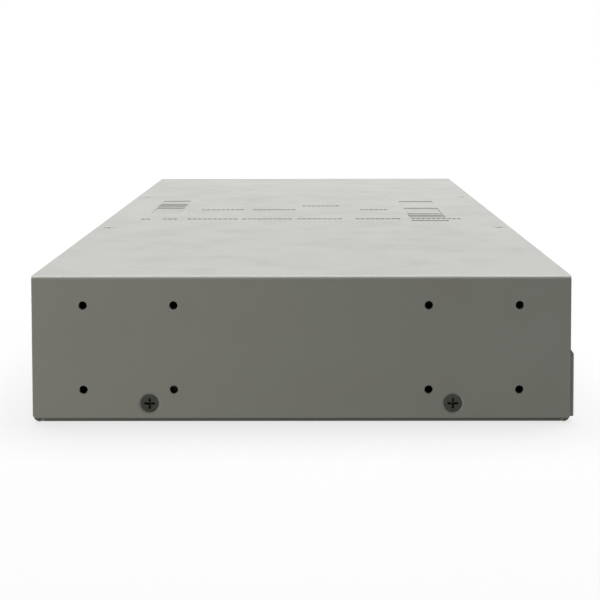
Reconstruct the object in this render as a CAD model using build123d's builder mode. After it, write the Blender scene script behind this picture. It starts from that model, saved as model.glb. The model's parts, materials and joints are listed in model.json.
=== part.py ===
from build123d import *

import os
from math import cos, pi, radians, sin, tan

# Rack-mount firewall appliance: a 1U steel case with its ports along the front.
# Millimetres. Origin: centre of the underside of the base. +X runs along the width,
# +Y to the rear (the ports are at -Y), +Z up.

os.makedirs("parts", exist_ok=True)

# ---- Driving dimensions ------------------------------------------------------------

width, depth, height = 440.0, 161.0, 44.0
sheet = 1.0  # steel of the base tray and of the cover
half_width, half_depth = width / 2, depth / 2
tray_half_width = half_width - sheet
tray_top = height - sheet
tray_bend, cover_bend = 2.0, 1.3  # outer radii
cover_lift = 1.2  # underside of the cover's side walls
cover_corner = 1.0
running_fit = 0.05  # radial clearance of a shaft or pin
loose_fit = 0.2  # clearance around what stands in an opening

# M3 hardware
m3_thread, m3_clear = 1.25, 1.7  # radii
m3_head = 2.75
countersink = 45  # degrees from the screw's axis
recess_half_length, recess_width, recess_depth = 1.6, 0.7, 1.1

# Rack-ear holes: two groups of four on each side
ear_pitch_y, ear_pitch_z = 27.1, 25.4
ear_group_y, ear_centre_z = 51.65, 22.5
ear_nut_radius, ear_nut_depth = 2.75, 2.0

# Cover screws
side_screw_y, side_screw_z = 45.4, 5.6
side_sink_radius = 3.2
top_screw_xs, top_screw_y = (-68.0, 86.0), 75.8
top_sink_radius = 2.85
cover_screw_length = 6.0
clinch_radius, clinch_depth = 2.6, 2.0

# Fascia
fascia_proud = 1.1
fascia_low, fascia_high = 1.6, 21.6
fascia_half_width = 219.2
front_face = half_depth + fascia_proud

# Boards
standoff_height, board_thick = 4.0, 1.6
board_low = sheet + standoff_height
board_high = board_low + board_thick
board_left, board_right = -212.0, 140.0
board_front, board_back = -79.3, 8.0
supply_left, supply_right = -212.0, -118.0
supply_front, supply_back = 12.0, 52.0

# Sockets along the front: centre and number of ports
port_pitch, jack_wall = 13.97, 1.0
jack_height, jack_depth, jack_setback = 13.4, 21.3, 0.2
console_x, wan_x, dmz_x, lan_x = -128.0, -46.0, -16.0, 34.0
jacks = {"console": (console_x, 1), "wan": (wan_x, 2), "dmz": (dmz_x, 1), "lan": (lan_x, 4)}
usb_centres = (-104.0, -86.0)
usb_width, usb_height, usb_depth = 13.2, 5.8, 14.0
reset_x, reset_z, reset_hole = -152.0, 11.0, 1.8
window_x, window_z, window_width, window_height = -190.0, 12.8, 38.0, 12.0

# Rear
rear_z = 22.0
inlet_x, switch_x, stud_x, stud_z = -180.0, -142.0, -118.0, 13.0
fan_centres = {"left": 60.0, "right": 113.0}
fan_size, fan_thick, fan_corner, fan_z = 40.0, 20.0, 3.0, 22.0
fan_bore, fan_screw_offset = 18.8, 16.0


def both(value):
    """The value on either side of zero."""
    return (-value, value)


def facing(x, y, z, direction):
    """A plane through a point, with its normal along the given direction."""
    return Plane(origin=(x, y, z), z_dir=direction)


def port_centres(name):
    """X of each port in a jack block."""
    centre, count = jacks[name]
    return [centre + port_pitch * (index - (count - 1) / 2) for index in range(count)]


def jack_width(name):
    return port_pitch * jacks[name][1] + jack_wall


# ---- Openings and places shared by several pieces -----------------------------------

front_plane = Plane.XZ.offset(half_depth)
rear_plane = Plane.XZ.offset(-half_depth)  # its normal points inwards
inner_rear_y = half_depth - sheet
jack_middle_z = board_high + jack_height / 2

with BuildSketch(front_plane) as port_windows:
    for jack_name, (jack_x, _) in jacks.items():
        with Locations((jack_x, jack_middle_z)):
            Rectangle(jack_width(jack_name) + 2 * loose_fit, jack_height + 2 * loose_fit)
    with Locations(*[(x, board_high + usb_height / 2) for x in usb_centres]):
        Rectangle(usb_width + 2 * loose_fit, usb_height + 2 * loose_fit)
    with Locations((reset_x, reset_z)):
        Circle(reset_hole)
    with Locations((window_x, window_z)):
        Rectangle(window_width, window_height)

slot_length, slot_width, slot_pitch = 11.0, 1.8, 4.2
front_vent_xs, front_vent_z, front_vent_count = (-150.0, 20.0, 165.0), 32.5, 18
with BuildSketch(front_plane) as front_vents:
    for vent_x in front_vent_xs:
        with Locations((vent_x, front_vent_z)):
            with GridLocations(slot_pitch, slot_pitch, front_vent_count, 1):
                SlotOverall(slot_length, slot_width, rotation=90)

rear_slot_length, rear_vent_rows = 9.0, 2
rear_vent_counts = {-52.0: 20, 190.0: 10}  # by the group's X
with BuildSketch(rear_plane) as rear_vents:
    for vent_x, count in rear_vent_counts.items():
        with Locations((vent_x, rear_z)):
            with GridLocations(slot_pitch, rear_slot_length + slot_pitch, count, rear_vent_rows):
                SlotOverall(rear_slot_length, slot_width, rotation=90)

grille_outer, grille_step, grille_gap, grille_rings, spoke_width = 18.4, 3.4, 1.9, 4, 2.2
spoke_angles = (45, 135)
with BuildSketch(rear_plane) as fan_grilles:
    with Locations(*[(x, fan_z) for x in fan_centres.values()]):
        for ring in range(grille_rings):
            Circle(grille_outer - ring * grille_step)
            Circle(grille_outer - ring * grille_step - grille_gap, mode=Mode.SUBTRACT)
        for angle in spoke_angles:
            Rectangle(2 * fan_size, spoke_width, rotation=angle, mode=Mode.SUBTRACT)

fan_screw_places = [
    (x + dx, fan_z + dz)
    for x in fan_centres.values()
    for dx in both(fan_screw_offset)
    for dz in both(fan_screw_offset)
]
fan_screw_radius = 1.75
inlet_screw_offset = 20.0
inlet_screw_xs = [inlet_x + dx for dx in both(inlet_screw_offset)]

inlet_cut_width, inlet_cut_height = 28.4, 20.4
switch_cut_width, switch_cut_height = 13.2, 20.0
stud_radius = 2.0
with BuildSketch(rear_plane) as rear_windows:
    with Locations((inlet_x, rear_z)):
        Rectangle(inlet_cut_width, inlet_cut_height)
    with Locations((switch_x, rear_z)):
        Rectangle(switch_cut_width, switch_cut_height)
    with Locations((stud_x, stud_z)):
        Circle(stud_radius)
    with Locations(*fan_screw_places):
        Circle(fan_screw_radius)
    with Locations(*[(x, rear_z) for x in inlet_screw_xs]):
        Circle(m3_thread)

side_screw_planes = [
    facing(side * half_width, y, side_screw_z, (side, 0, 0))
    for side in (-1, 1)
    for y in both(side_screw_y)
]
top_screw_planes = [
    facing(x, y, height, (0, 0, 1)) for x in top_screw_xs for y in both(top_screw_y)
]

# ---- Base tray ----------------------------------------------------------------------

flange_depth = 9.0
lip_height, tab_height, tab_width = 4.5, 9.5, 8.4
lip_half_length, relief_length = 77.3, 1.2
lip_bend = 0.5
tray_flange_sink = side_sink_radius - sheet
top_flange_sink = top_sink_radius - sheet

with BuildPart() as base_tray:
    with BuildSketch(Plane.XY):
        Rectangle(2 * tray_half_width, depth)
    extrude(amount=tray_top)
    fillet(base_tray.edges().filter_by(Axis.X).group_by(Axis.Z)[0], tray_bend)
    offset(
        amount=-sheet,
        openings=base_tray.faces().filter_by(Axis.X) + base_tray.faces().sort_by(Axis.Z)[-1:],
    )
    with BuildSketch(Plane.XY.offset(tray_top - sheet)):
        with Locations(*[(0, y) for y in both(half_depth - flange_depth / 2)]):
            Rectangle(2 * tray_half_width, flange_depth)
    extrude(amount=sheet)
    with BuildSketch(Plane.XY):
        with Locations(*[(x, 0) for x in both(tray_half_width)]):
            Rectangle(2 * lip_bend, 2 * (lip_half_length + relief_length))
    extrude(amount=sheet, mode=Mode.SUBTRACT)
    with BuildSketch(Plane.XZ):
        with BuildLine():
            bend = CenterArc((tray_half_width - lip_bend, lip_bend), lip_bend, 270, 90)
            Polyline(bend @ 1, (tray_half_width, lip_height), (tray_half_width - sheet, lip_height),
                     (tray_half_width - sheet, sheet), (tray_half_width - lip_bend, sheet), bend @ 0)
        make_face()
        mirror(about=Plane.YZ)
    extrude(amount=lip_half_length, both=True)
    with BuildSketch(Plane.XY.offset(lip_bend)):
        for x in both(tray_half_width - sheet / 2):
            with Locations(*[(x, y) for y in both(side_screw_y)]):
                Rectangle(sheet, tab_width)
    extrude(amount=tab_height - lip_bend)
    with BuildSketch(Plane.XZ):
        with Locations(*[(x, tray_top - sheet / 2) for x in both(tray_half_width - sheet / 2)]):
            Rectangle(sheet, sheet)
    extrude(amount=half_depth, both=True, mode=Mode.SUBTRACT)
    with Locations(*[plane.offset(-sheet) for plane in side_screw_planes]):
        CounterSinkHole(m3_thread, tray_flange_sink, depth=2 * sheet, counter_sink_angle=2 * countersink)
    with Locations(*[plane.offset(-sheet) for plane in top_screw_planes]):
        CounterSinkHole(m3_thread, top_flange_sink, depth=2 * sheet, counter_sink_angle=2 * countersink)
    extrude(port_windows.sketch, amount=-2 * sheet, mode=Mode.SUBTRACT)
    extrude(front_vents.sketch, amount=-2 * sheet, mode=Mode.SUBTRACT)
    for cutter in (rear_vents, fan_grilles, rear_windows):
        extrude(cutter.sketch, amount=2 * sheet, mode=Mode.SUBTRACT)

# ---- Top cover ----------------------------------------------------------------------

# Shallow marks pressed into the cover: rows of strokes across it, and two columns of bars
mark_depth = 0.25
stroke_pitch, stroke_length, stroke_width = 2.1, 3.2, 1.6
mark_rows = {  # by the row's X: the middle and the length of each group of strokes, along Y
    -31.5: [(65.0, 5.0), (55.0, 7.0), (37.5, 20.0), (15.0, 21.0), (-6.5, 18.5), (-30.5, 18.0),
            (-54.5, 20.0)],
    13.0: [(35.5, 19.0), (13.0, 19.0), (-30.5, 12.0)],
    33.0: [(-7.5, 17.5)],
}
bar_columns = {  # by the column's Y and width: the middle and the length of each bar, along X
    (59.2, 12.4): [(9.2, 28.0), (28.5, 4.0), (35.5, 4.0), (42.5, 4.0), (55.7, 13.6)],
    (-51.5, 15.0): [(-40.0, 3.0), (-23.5, 4.0), (-16.5, 4.0), (-9.0, 4.0), (9.8, 23.0), (53.2, 12.0)],
}

with BuildPart() as top_cover:
    with BuildSketch(Plane.XZ):
        with Locations((0, (height + cover_lift) / 2)):
            Rectangle(width, height - cover_lift)
    extrude(amount=half_depth, both=True)
    fillet(top_cover.edges().filter_by(Axis.Y).group_by(Axis.Z)[-1], cover_bend)
    offset(
        amount=-sheet,
        openings=top_cover.faces().filter_by(Axis.Y) + top_cover.faces().sort_by(Axis.Z)[:1],
    )
    fillet(top_cover.edges().filter_by(Axis.X).group_by(Axis.Z)[0], cover_corner)
    for side in (-1, 1):
        for centre_y in both(ear_group_y):
            with Locations(Plane(origin=(side * half_width, centre_y, ear_centre_z),
                                 x_dir=(0, side, 0), z_dir=(side, 0, 0))):
                with GridLocations(ear_pitch_y, ear_pitch_z, 2, 2):
                    Hole(m3_thread, depth=2 * sheet)
    with Locations(*side_screw_planes):
        CounterSinkHole(m3_clear, side_sink_radius, depth=2 * sheet, counter_sink_angle=2 * countersink)
    with Locations(*top_screw_planes):
        CounterSinkHole(m3_clear, top_sink_radius, depth=2 * sheet, counter_sink_angle=2 * countersink)
    with BuildSketch(Plane.XY.offset(height)):
        for row_x, groups in mark_rows.items():
            for middle, length in groups:
                with Locations((row_x, middle)):
                    with GridLocations(1, stroke_pitch, 1, round(length / stroke_pitch)):
                        Rectangle(stroke_length, stroke_width)
        for (column_y, column_width), bars in bar_columns.items():
            for middle, length in bars:
                with Locations((middle, column_y)):
                    Rectangle(length, column_width)
    extrude(amount=-mark_depth, mode=Mode.SUBTRACT)

# ---- Fascia and indicator window -----------------------------------------------------

fascia_edge, fascia_slope_down, fascia_slope_back = 0.4, 1.3, 0.88
with BuildPart() as port_fascia:
    with BuildSketch(front_plane):
        with Locations((0, (fascia_low + fascia_high) / 2)):
            Rectangle(2 * fascia_half_width, fascia_high - fascia_low)
    extrude(amount=fascia_proud)
    face = port_fascia.faces().sort_by(Axis.Y)[0]
    top_edge = face.edges().filter_by(Axis.X).sort_by(Axis.Z)[-1]
    chamfer(top_edge, fascia_slope_down, fascia_slope_back, reference=face)
    chamfer(port_fascia.faces().sort_by(Axis.Y)[0].edges().filter_by(Axis.Z), fascia_edge)
    extrude(port_windows.sketch, amount=2 * fascia_proud, mode=Mode.SUBTRACT)

window_thick, window_setback = 0.7, 0.2
window_front = front_face - window_setback
with BuildPart() as indicator_window:
    with BuildSketch(Plane.XZ.offset(window_front)):
        with Locations((window_x, window_z)):
            Rectangle(window_width - running_fit, window_height - running_fit)
    extrude(amount=-window_thick)

# ---- Screws and nuts -----------------------------------------------------------------

pan_slope, recess_slope = 18, 12  # degrees


def cross_recess(plane):
    """Cross-shaped cutter sunk into a screw head, from the given plane inwards."""
    with BuildPart(mode=Mode.PRIVATE) as cutter:
        with BuildSketch(plane):
            Rectangle(2 * recess_half_length, recess_width)
            Rectangle(recess_width, 2 * recess_half_length)
        extrude(amount=-recess_depth, taper=recess_slope)
    return cutter.part


def countersunk_screws(planes, drop):
    """M3 countersunk screws whose heads lie `drop` below the given planes."""
    with BuildPart(mode=Mode.PRIVATE) as screws:
        for plane in planes:
            with BuildSketch(plane.offset(-drop)):
                Circle(m3_head)
            extrude(amount=-(m3_head - m3_thread), taper=countersink)
            with BuildSketch(plane.offset(-drop)):
                Circle(m3_thread)
            extrude(amount=-cover_screw_length)
            add(cross_recess(plane.offset(-drop)), mode=Mode.SUBTRACT)
    return screws


def pan_screws(planes, head_radius, head_height, shank_radius, shank_length):
    """Pan-head screws seated on the given planes."""
    with BuildPart(mode=Mode.PRIVATE) as screws:
        for plane in planes:
            with BuildSketch(plane):
                Circle(head_radius)
            extrude(amount=head_height, taper=pan_slope)
            with BuildSketch(plane):
                Circle(shank_radius)
            extrude(amount=-shank_length)
            add(cross_recess(plane.offset(head_height)), mode=Mode.SUBTRACT)
    return screws


def rings(planes, outer, inner, length):
    """Round nuts or spacers standing on the given planes."""
    with BuildPart(mode=Mode.PRIVATE) as group:
        for plane in planes:
            with BuildSketch(plane):
                Circle(outer)
                Circle(inner, mode=Mode.SUBTRACT)
            extrude(amount=length)
    return group


cover_side_screws = countersunk_screws(side_screw_planes, side_sink_radius - m3_head)
cover_top_screws = countersunk_screws(top_screw_planes, top_sink_radius - m3_head)
cover_nuts = rings(
    [plane.offset(-2 * sheet - clinch_depth) for plane in side_screw_planes + top_screw_planes],
    clinch_radius, m3_thread, clinch_depth,
)
ear_mount_nuts = rings(
    [
        facing(side * (tray_half_width - ear_nut_depth), centre + dy, ear_centre_z + dz, (side, 0, 0))
        for side in (-1, 1)
        for centre in both(ear_group_y)
        for dy in both(ear_pitch_y / 2)
        for dz in both(ear_pitch_z / 2)
    ],
    ear_nut_radius, m3_thread, ear_nut_depth,
)

# ---- Boards, standoffs and board screws ----------------------------------------------

board_inset, main_hole_middle_x, behind_sockets = 5.0, -70.0, 30.0
main_hole_xs = (board_left + board_inset, main_hole_middle_x, board_right - board_inset)
main_hole_ys = (board_front + behind_sockets, board_back - board_inset)
supply_hole_xs = (supply_left + board_inset, supply_right - board_inset)
supply_hole_ys = (supply_front + board_inset, supply_back - board_inset)
main_holes = [(x, y) for x in main_hole_xs for y in main_hole_ys]
supply_holes = [(x, y) for x in supply_hole_xs for y in supply_hole_ys]


def board(left, right, front, back, holes):
    with BuildPart(mode=Mode.PRIVATE) as plate:
        with BuildSketch(Plane.XY.offset(board_low)):
            with Locations(((left + right) / 2, (front + back) / 2)):
                Rectangle(right - left, back - front)
            with Locations(*holes):
                Circle(m3_thread, mode=Mode.SUBTRACT)
        extrude(amount=board_thick)
    return plate


main_board = board(board_left, board_right, board_front, board_back, main_holes)
psu_board = board(supply_left, supply_right, supply_front, supply_back, supply_holes)

standoff_radius, screw_head_height, board_screw_length = 2.8, 1.8, 5.0
board_standoffs = rings(
    [Plane.XY.offset(sheet).move(Location((x, y, 0))) for x, y in main_holes + supply_holes],
    standoff_radius, m3_thread, standoff_height,
)
board_screws = pan_screws(
    [Plane.XY.offset(board_high).move(Location((x, y, 0))) for x, y in main_holes + supply_holes],
    m3_head, screw_head_height, m3_thread, board_screw_length,
)

insulator_thick, insulator_margin = 0.3, 1.5
with BuildPart() as psu_insulator:
    with BuildSketch(Plane.XY.offset(sheet)):
        with Locations(((supply_left + supply_right) / 2, (supply_front + supply_back) / 2)):
            Rectangle(supply_right - supply_left + insulator_margin,
                      supply_back - supply_front + insulator_margin)
        with Locations(*supply_holes):
            Circle(standoff_radius + loose_fit, mode=Mode.SUBTRACT)
    extrude(amount=insulator_thick)

# ---- Network sockets -----------------------------------------------------------------

jack_front = front_face - jack_setback
jack_plane = Plane.XZ.offset(jack_front)
mouth_width, mouth_low, mouth_high, mouth_depth = 11.7, 3.7, 10.6, 13.0
latch_width, latch_low, slot_low, slot_narrow = 6.2, 2.3, 0.9, 3.3
lens_width, lens_height, lens_offset, lens_z, lens_depth = 3.0, 1.7, 4.4, 11.8, 0.8


def band(width_x, low, high):
    """Rectangle on a jack's face between two heights above the board."""
    with Locations((0, (low + high) / 2)):
        Rectangle(width_x, high - low)


def jack_block(name):
    """A row of shielded RJ45 sockets with stepped mouths and pockets for two lights each."""
    centre, _ = jacks[name]
    with BuildPart(mode=Mode.PRIVATE) as block:
        with BuildSketch(jack_plane):
            with Locations((centre, jack_middle_z)):
                Rectangle(jack_width(name), jack_height)
        extrude(amount=-jack_depth)
        with BuildSketch(jack_plane):
            with Locations(*[(x, board_high) for x in port_centres(name)]):
                band(mouth_width, mouth_low, mouth_high)
                band(latch_width, latch_low, mouth_low)
                band(slot_narrow, slot_low, latch_low)
        extrude(amount=-mouth_depth, mode=Mode.SUBTRACT)
        with BuildSketch(jack_plane):
            with Locations(*[(x, board_high + lens_z) for x in port_centres(name)]):
                with GridLocations(2 * lens_offset, 1, 2, 1):
                    Rectangle(lens_width, lens_height)
        extrude(amount=-lens_depth, mode=Mode.SUBTRACT)
    return block


console_jack, wan_jack_block, dmz_jack, lan_jack_block = [jack_block(name) for name in jacks]
all_ports = [x for name in jacks for x in port_centres(name)]

with BuildPart() as link_leds:
    with BuildSketch(jack_plane):
        with Locations(*[(x, board_high + lens_z) for x in all_ports]):
            with GridLocations(2 * lens_offset, 1, 2, 1):
                Rectangle(lens_width, lens_height)
    extrude(amount=-lens_depth)

contact_pitch, contact_width, contacts_per_port, contact_thick = 1.02, 0.4, 8, 0.3
contact_tip_drop, contact_start = 1.8, 3.5
contact_high = board_high + mouth_high - 2 * contact_thick
contact_back_y = -jack_front + mouth_depth
contact_xs = [
    x + contact_pitch * (index - (contacts_per_port - 1) / 2)
    for x in all_ports
    for index in range(contacts_per_port)
]
with BuildPart() as jack_contacts:
    with BuildSketch(*[Plane.YZ.offset(x - contact_width / 2) for x in contact_xs]):
        with BuildLine():
            Polyline(
                (contact_back_y, contact_high),
                (contact_back_y, contact_high + contact_thick),
                (contact_start - jack_front, contact_high - contact_tip_drop + contact_thick),
                (contact_start - jack_front, contact_high - contact_tip_drop),
                close=True,
            )
        make_face()
    extrude(amount=contact_width)

# ---- USB sockets ---------------------------------------------------------------------

usb_wall, usb_cavity_depth = 0.5, 13.0
tongue_width, tongue_thick, tongue_length, tongue_raise = 11.2, 1.8, 9.0, 0.7
usb_middle_z = board_high + usb_height / 2

with BuildPart() as usb_shells:
    with BuildSketch(jack_plane):
        with Locations(*[(x, usb_middle_z) for x in usb_centres]):
            Rectangle(usb_width, usb_height)
    extrude(amount=-usb_depth)
    with BuildSketch(jack_plane):
        with Locations(*[(x, usb_middle_z) for x in usb_centres]):
            Rectangle(usb_width - 2 * usb_wall, usb_height - 2 * usb_wall)
    extrude(amount=-usb_cavity_depth, mode=Mode.SUBTRACT)

with BuildPart() as usb_tongues:
    with BuildSketch(jack_plane.offset(-usb_cavity_depth)):
        with Locations(*[(x, usb_middle_z + tongue_raise) for x in usb_centres]):
            Rectangle(tongue_width, tongue_thick)
    extrude(amount=tongue_length)

# ---- Reset button --------------------------------------------------------------------

button_radius, button_proud, button_travel, button_length = 1.5, 0.4, 0.8, 9.5
guide_width, guide_front, guide_back, guide_top = 6.4, -78.6, -68.0, 15.0
button_gap = 0.3
button_front_y = -front_face - button_proud
button_axis = facing(reset_x, button_front_y, reset_z, (0, 1, 0))

with BuildPart() as reset_button:
    with BuildSketch(button_axis):
        Circle(button_radius)
    extrude(amount=button_length)
    fillet(reset_button.edges().filter_by(GeomType.CIRCLE).sort_by(Axis.Y)[0], button_gap)

with BuildPart() as reset_switch:
    with BuildSketch(Plane.XY.offset(board_high)):
        with Locations((reset_x, (guide_front + guide_back) / 2)):
            Rectangle(guide_width, guide_back - guide_front)
    extrude(amount=guide_top - board_high)
    with BuildSketch(button_axis):
        Circle(button_radius + running_fit)
    extrude(amount=button_length + button_travel + button_gap, mode=Mode.SUBTRACT)

# ---- Status lights -------------------------------------------------------------------

light_columns, light_pitch, pipe_size, pipe_gap = 4, 8.4, 2.4, 0.2
led_width, led_length, led_height = 2.0, 1.6, 0.9
pipe_rows = {"low": (-74.5, 9.4), "high": (-69.5, 14.4)}  # far end along Y, underside
light_xs = [window_x + light_pitch * (i - (light_columns - 1) / 2) for i in range(light_columns)]
pipe_front_y = -window_front + window_thick + pipe_gap

with BuildPart() as status_leds:
    with BuildSketch(Plane.XY.offset(board_high)):
        with Locations(*[(x, far - pipe_size / 2) for x in light_xs for far, _ in pipe_rows.values()]):
            Rectangle(led_width, led_length)
    extrude(amount=led_height)

with BuildPart() as light_pipes:
    for far, underside in pipe_rows.values():
        with BuildSketch(*[Plane.YZ.offset(x - pipe_size / 2) for x in light_xs]):
            with BuildLine():
                Polyline(
                    (pipe_front_y, underside),
                    (far - pipe_size, underside),
                    (far - pipe_size, board_high + led_height + pipe_gap),
                    (far, board_high + led_height + pipe_gap),
                    (far, underside + pipe_size),
                    (pipe_front_y, underside + pipe_size),
                    close=True,
                )
            make_face()
        extrude(amount=pipe_size)

# ---- On the main board ---------------------------------------------------------------

chip_height = 2.2
cpu_x, cpu_y, cpu_size = 0.0, -22.0, 31.0
with BuildPart() as processor:
    with BuildSketch(Plane.XY.offset(board_high)):
        with Locations((cpu_x, cpu_y)):
            Rectangle(cpu_size, cpu_size)
    extrude(amount=chip_height)
    chamfer(processor.edges().filter_by(Axis.Z), 1.0)

sink_size, sink_base, sink_high, fin_count, fin_thick = 40.0, 3.0, 22.0, 9, 1.4
sink_pin_offset, sink_pin_radius = 17.0, 1.2
fin_pitch = (sink_size - fin_thick) / (fin_count - 1)
sink_low = board_high + chip_height
sink_pin_fins = 3.5  # each pin stands in the gap this many fins from the middle
sink_pin_places = [
    (cpu_x + sign * sink_pin_fins * fin_pitch, cpu_y + sign * sink_pin_offset) for sign in (-1, 1)
]
with BuildPart() as heatsink:
    with BuildSketch(Plane.XY.offset(sink_low)):
        with Locations((cpu_x, cpu_y)):
            Rectangle(sink_size, sink_size)
    extrude(amount=sink_base)
    with BuildSketch(Plane.XY.offset(sink_low + sink_base)):
        with Locations((cpu_x, cpu_y)):
            with GridLocations(fin_pitch, 1, fin_count, 1):
                Rectangle(fin_thick, sink_size)
    extrude(amount=sink_high - sink_base)
    with BuildSketch(Plane.XY.offset(sink_low)):
        with Locations(*sink_pin_places):
            Circle(sink_pin_radius)
    extrude(amount=sink_base, mode=Mode.SUBTRACT)

pin_head_radius, pin_head_height = 1.6, 1.5
with BuildPart() as heatsink_pins:
    with BuildSketch(Plane.XY.offset(board_high)):
        with Locations(*sink_pin_places):
            Circle(sink_pin_radius)
    extrude(amount=chip_height + sink_base)
    with BuildSketch(Plane.XY.offset(sink_low + sink_base)):
        with Locations(*sink_pin_places):
            Circle(pin_head_radius)
    extrude(amount=pin_head_height)

module_x, module_y, module_width, module_depth = 88.0, -30.0, 67.6, 30.0
socket_depth, socket_height, module_raise, module_thick = 8.0, 5.2, 3.4, 1.2
dram_width, dram_depth, dram_height, dram_count = 12.0, 10.0, 1.1, 4
with BuildPart() as memory_module:
    with BuildSketch(Plane.XY.offset(board_high + module_raise)):
        with Locations((module_x, module_y)):
            Rectangle(module_width, module_depth)
    extrude(amount=module_thick)
    with BuildSketch(Plane.XY.offset(board_high + module_raise + module_thick)):
        with Locations((module_x, module_y - socket_depth / 2)):
            with GridLocations(module_width / dram_count, 1, dram_count, 1):
                Rectangle(dram_width, dram_depth)
    extrude(amount=dram_height)

socket_grip = 4.0
socket_y = module_y + module_depth / 2 - socket_grip + socket_depth / 2
with BuildPart() as memory_socket:
    with BuildSketch(Plane.XY.offset(board_high)):
        with Locations((module_x, socket_y)):
            Rectangle(module_width + 4.0, socket_depth)
    extrude(amount=socket_height)
    add(memory_module.part, mode=Mode.SUBTRACT)

flash_x, flash_y, flash_width, flash_depth, flash_height = 104.0, -64.0, 26.0, 22.0, 7.0
corner_cut = 1.0
with BuildPart() as flash_module:
    with BuildSketch(Plane.XY.offset(board_high)):
        with Locations((flash_x, flash_y)):
            Rectangle(flash_width, flash_depth)
    extrude(amount=flash_height)
    chamfer(flash_module.edges().filter_by(Axis.Z), corner_cut)

cell_x, cell_y, cell_radius, cell_thick, cell_raise = -94.0, -26.0, 10.0, 3.2, 1.6
with BuildPart() as coin_cell:
    with BuildSketch(Plane.XY.offset(board_high + cell_raise)):
        with Locations((cell_x, cell_y)):
            Circle(cell_radius)
    extrude(amount=cell_thick)
    fillet(coin_cell.edges().sort_by(Axis.Z)[-1], 0.4)

holder_radius, holder_height = 12.0, 4.4
with BuildPart() as coin_cell_holder:
    with BuildSketch(Plane.XY.offset(board_high)):
        with Locations((cell_x, cell_y)):
            Circle(holder_radius)
    extrude(amount=holder_height)
    with BuildSketch(Plane.XY.offset(board_high + cell_raise)):
        with Locations((cell_x, cell_y)):
            Circle(cell_radius)
    extrude(amount=holder_height, mode=Mode.SUBTRACT)

magnetics_xs, magnetics_y = (-58.0, -38.0, 22.0, 46.0), -50.0
magnetics_width, magnetics_depth, magnetics_height = 15.0, 9.5, 6.0
with BuildPart() as line_transformers:
    with BuildSketch(Plane.XY.offset(board_high)):
        with Locations(*[(x, magnetics_y) for x in magnetics_xs]):
            Rectangle(magnetics_width, magnetics_depth)
    extrude(amount=magnetics_height)
    fillet(line_transformers.edges().group_by(Axis.Z)[-1], 0.6)

chip_places = {(-46.0, -26.0): 20.0, (-140.0, -40.0): 14.0, (-154.0, -14.0): 16.0, (-118.0, -52.0): 8.0}
with BuildPart() as board_chips:
    for place, size in chip_places.items():
        with BuildSketch(Plane.XY.offset(board_high)):
            with Locations(place):
                Rectangle(size, size)
        extrude(amount=chip_height)

can_radius, can_height, can_places = 4.0, 11.5, (-182.0, -20.0)
can_pitch_x, can_pitch_y, can_columns, can_rows = 10.5, 12.0, 3, 2
with BuildPart() as board_capacitors:
    with BuildSketch(Plane.XY.offset(board_high)):
        with Locations(can_places):
            with GridLocations(can_pitch_x, can_pitch_y, can_columns, can_rows):
                Circle(can_radius)
    extrude(amount=can_height)
    fillet(board_capacitors.edges().group_by(Axis.Z)[-1], 0.6)

coil_size, coil_height, coil_corner = 11.0, 6.5, 2.5
coil_places, coil_pitch, coil_count = (-182.0, -44.0), 14.0, 3
with BuildPart() as board_coils:
    with BuildSketch(Plane.XY.offset(board_high)):
        with Locations(coil_places):
            with GridLocations(coil_pitch, 1, coil_count, 1):
                Rectangle(coil_size, coil_size)
    extrude(amount=coil_height)
    fillet(board_coils.edges().filter_by(Axis.Z), coil_corner)

# ---- Power supply --------------------------------------------------------------------

core_x, core_y, core_width, core_depth, core_height = -142.0, 27.0, 27.0, 22.0, 22.0
winding_width, winding_depth, winding_height, winding_corner = 19.0, 27.0, 13.0, 3.0
core_window = 4.0
with BuildPart() as transformer_winding:
    with BuildSketch(Plane.XY.offset(board_high + core_window)):
        with Locations((core_x, core_y)):
            RectangleRounded(winding_width, winding_depth, winding_corner)
    extrude(amount=winding_height)

with BuildPart() as transformer_core:
    with BuildSketch(Plane.XY.offset(board_high)):
        with Locations((core_x, core_y)):
            Rectangle(core_width, core_depth)
    extrude(amount=core_height)
    add(transformer_winding.part, mode=Mode.SUBTRACT)

bulk_x, bulk_y, bulk_radius, bulk_height = -196.0, 26.0, 8.0, 26.0
output_can_places = [(-164.0, 40.0), (-151.0, 45.5)]
with BuildPart() as psu_capacitors:
    with BuildSketch(Plane.XY.offset(board_high)):
        with Locations((bulk_x, bulk_y)):
            Circle(bulk_radius)
    extrude(amount=bulk_height)
    with BuildSketch(Plane.XY.offset(board_high)):
        with Locations(*output_can_places):
            Circle(can_radius)
    extrude(amount=can_height)

fin_x, fin_y, fin_length, fin_high, plate_thick = -176.0, 24.0, 22.0, 26.0, 2.0
fin_spacing, fin_return = 14.0, 5.0
with BuildPart() as psu_heatsinks:
    with BuildSketch(Plane.XY.offset(board_high)):
        for x in (fin_x, fin_x + fin_spacing):
            with Locations((x, fin_y)):
                Rectangle(plate_thick, fin_length)
            end_y = (fin_length - plate_thick) / 2
            with Locations(*[(x + fin_return / 2, fin_y + dy) for dy in both(end_y)]):
                Rectangle(fin_return, plate_thick)
    extrude(amount=fin_high)

choke_x, choke_y, choke_width, choke_depth, choke_height = -176.0, 44.0, 14.0, 10.0, 12.0
choke_round = 2.0
with BuildPart() as psu_choke:
    with BuildSketch(Plane.XY.offset(board_high)):
        with Locations((choke_x, choke_y)):
            Rectangle(choke_width, choke_depth)
    extrude(amount=choke_height)
    fillet(psu_choke.edges().group_by(Axis.Z)[-1], choke_round)

fuse_x, fuse_y, fuse_radius, fuse_length = -208.0, 34.0, 2.6, 16.0
with BuildPart() as mains_fuse:
    with BuildSketch(facing(fuse_x, fuse_y - fuse_length / 2, board_high + fuse_radius, (0, 1, 0))):
        Circle(fuse_radius)
    extrude(amount=fuse_length)

# ---- Mains inlet ---------------------------------------------------------------------

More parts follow.
